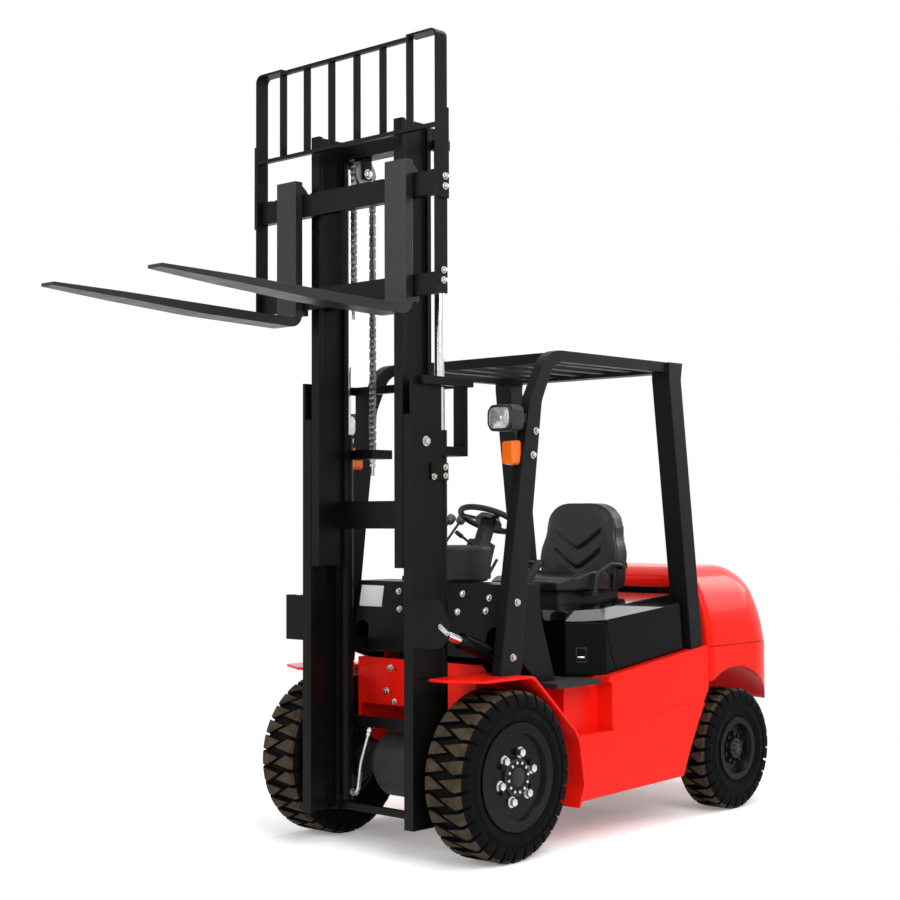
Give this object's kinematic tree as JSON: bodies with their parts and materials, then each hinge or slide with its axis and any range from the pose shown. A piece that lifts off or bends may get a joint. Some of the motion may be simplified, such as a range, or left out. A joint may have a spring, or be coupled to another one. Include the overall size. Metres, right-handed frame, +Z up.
{
  "type": "counterbalance forklift truck",
  "caption": "Engine-powered counterbalance forklift with a raised two-stage mast, forks, load backrest, overhead guard and steered rear wheels.",
  "frame": {"origin": "on the floor under the middle of the overall length and width", "axes": "+X to the truck's left, -Y to its front (the forks), +Z up"},
  "size_m": [1.225, 3.86, 3.413],
  "materials": {
    "body_red": "gloss red paint",
    "mast_black": "semi-gloss black paint",
    "hood_black": "high-gloss black",
    "trim_black": "textured black",
    "tyre": "rubber",
    "rim_grey": "satin grey paint",
    "cast": "dark grey paint",
    "chrome": "polished rod",
    "steel": "oiled steel",
    "seat": "black seat cover",
    "lens": "clear lens",
    "amber": "amber lens",
    "red_lens": "red lens"
  },
  "bodies": {
    "truck": {"chassis_frame": "body_red", "side_tanks": "body_red", "fenders": "body_red", "counterweight": "body_red", "rear_grille": "trim_black", "engine": "cast", "radiator": "mast_black", "drive_axle": "cast", "steer_axle": "cast", "front_cowl": "mast_black", "floor_plate": "trim_black", "hood_front_panel": "hood_black", "steering_console": "trim_black", "hand_levers": "trim_black", "pedals": "trim_black", "guard_sides": "mast_black", "guard_roof": "mast_black", "headlamps": "trim_black", "headlamp_lenses": "lens", "turn_signals": "amber", "tail_lamps": "red_lens"},
    "hood": {"hood": "hood_black", "seat_base": "trim_black", "seat_cushion": "seat", "seat_back": "seat", "seat_wings": "trim_black"},
    "steering_wheel": {"steering_wheel": "trim_black"},
    "mast_outer": {"mast_outer_rails": "mast_black", "mast_outer_ties": "mast_black", "lift_barrels": "mast_black", "back_chains": "steel"},
    "mast_inner": {"mast_inner_rails": "mast_black", "mast_inner_ties": "mast_black", "lift_rods": "chrome", "chain_wheels": "steel", "chain_crowns": "steel", "front_chains": "steel"},
    "carriage": {"carriage_frame": "mast_black", "load_backrest": "mast_black"},
    "fork_left": {"fork_left": "mast_black"},
    "fork_right": {"fork_right": "mast_black"},
    "tilt_barrels": {"tilt_barrels": "mast_black"},
    "tilt_rods": {"tilt_rods": "chrome"},
    "knuckle_left": {"knuckle_left": "cast"},
    "knuckle_right": {"knuckle_right": "cast"},
    "front_wheel_left": {"front_tyre_left": "tyre", "front_rim_left": "rim_grey"},
    "front_wheel_right": {"front_tyre_right": "tyre", "front_rim_right": "rim_grey"},
    "rear_wheel_left": {"rear_tyre_left": "tyre", "rear_rim_left": "rim_grey"},
    "rear_wheel_right": {"rear_tyre_right": "tyre", "rear_rim_right": "rim_grey"}
  },
  "joints": [
    {"name": "mast_tilt", "type": "hinge", "parent": "truck", "child": "mast_outer", "pos_m": [0, -0.27, 0.355], "axis": [1, 0, 0], "range_deg": [-12, 6]},
    {"name": "mast_lift", "type": "slide", "parent": "mast_outer", "child": "mast_inner", "axis": [0, 0, 1], "range_m": [-1.12, 0.38], "deforming": ["back_chains"]},
    {"name": "carriage_lift", "type": "slide", "parent": "mast_inner", "child": "carriage", "axis": [0, 0, 1], "range_m": [-1.12, 0.38], "deforming": ["front_chains"]},
    {"name": "fork_left_slide", "type": "slide", "parent": "carriage", "child": "fork_left", "axis": [1, 0, 0], "range_m": [-0.23, 0.14]},
    {"name": "fork_right_slide", "type": "slide", "parent": "carriage", "child": "fork_right", "axis": [-1, 0, 0], "range_m": [-0.23, 0.14]},
    {"name": "tilt_barrel_swing", "type": "hinge", "parent": "truck", "child": "tilt_barrels", "pos_m": [0, -0.045, 0.79], "axis": [1, 0, 0], "range_deg": [-11.5, 6]},
    {"name": "tilt_rod_stroke", "type": "slide", "parent": "tilt_barrels", "child": "tilt_rods", "axis": [0, -0.942, 0.3357], "range_m": [-0.104, 0.053]},
    {"name": "steer_left", "type": "hinge", "parent": "truck", "child": "knuckle_left", "pos_m": [0.39, 1.43, 0.293], "axis": [0, 0, 1], "range_deg": [-65, 65]},
    {"name": "steer_right", "type": "hinge", "parent": "truck", "child": "knuckle_right", "pos_m": [-0.39, 1.43, 0.293], "axis": [0, 0, 1], "range_deg": [-65, 65]},
    {"name": "steering_wheel_turn", "type": "hinge", "parent": "truck", "child": "steering_wheel", "pos_m": [0, 0.245, 1.42], "axis": [0, 0.4226, 0.9063], "range_deg": [-600, 600]},
    {"name": "front_wheel_left_spin", "type": "hinge", "parent": "truck", "child": "front_wheel_left", "pos_m": [0.5, -0.27, 0.355], "axis": [1, 0, 0], "continuous": true},
    {"name": "front_wheel_right_spin", "type": "hinge", "parent": "truck", "child": "front_wheel_right", "pos_m": [-0.5, -0.27, 0.355], "axis": [1, 0, 0], "continuous": true},
    {"name": "rear_wheel_left_spin", "type": "hinge", "parent": "knuckle_left", "child": "rear_wheel_left", "pos_m": [0.49, 1.43, 0.293], "axis": [1, 0, 0], "continuous": true},
    {"name": "rear_wheel_right_spin", "type": "hinge", "parent": "knuckle_right", "child": "rear_wheel_right", "pos_m": [-0.49, 1.43, 0.293], "axis": [1, 0, 0], "continuous": true},
    {"name": "hood_lift", "type": "hinge", "parent": "truck", "child": "hood", "pos_m": [0, 1.052, 1.03], "axis": [-1, 0, 0], "range_deg": [0, 45]}
  ],
  "couplings": [
    {"joint": "carriage_lift", "follows": "mast_lift", "ratio": 1},
    {"joint": "tilt_barrel_swing", "follows": "mast_tilt", "ratio": 0.92},
    {"joint": "tilt_rod_stroke", "follows": "mast_tilt", "m_per_rad": 0.486},
    {"joint": "steer_right", "follows": "steer_left", "ratio": 1},
    {"joint": "steering_wheel_turn", "follows": "steer_left", "ratio": -9}
  ]
}
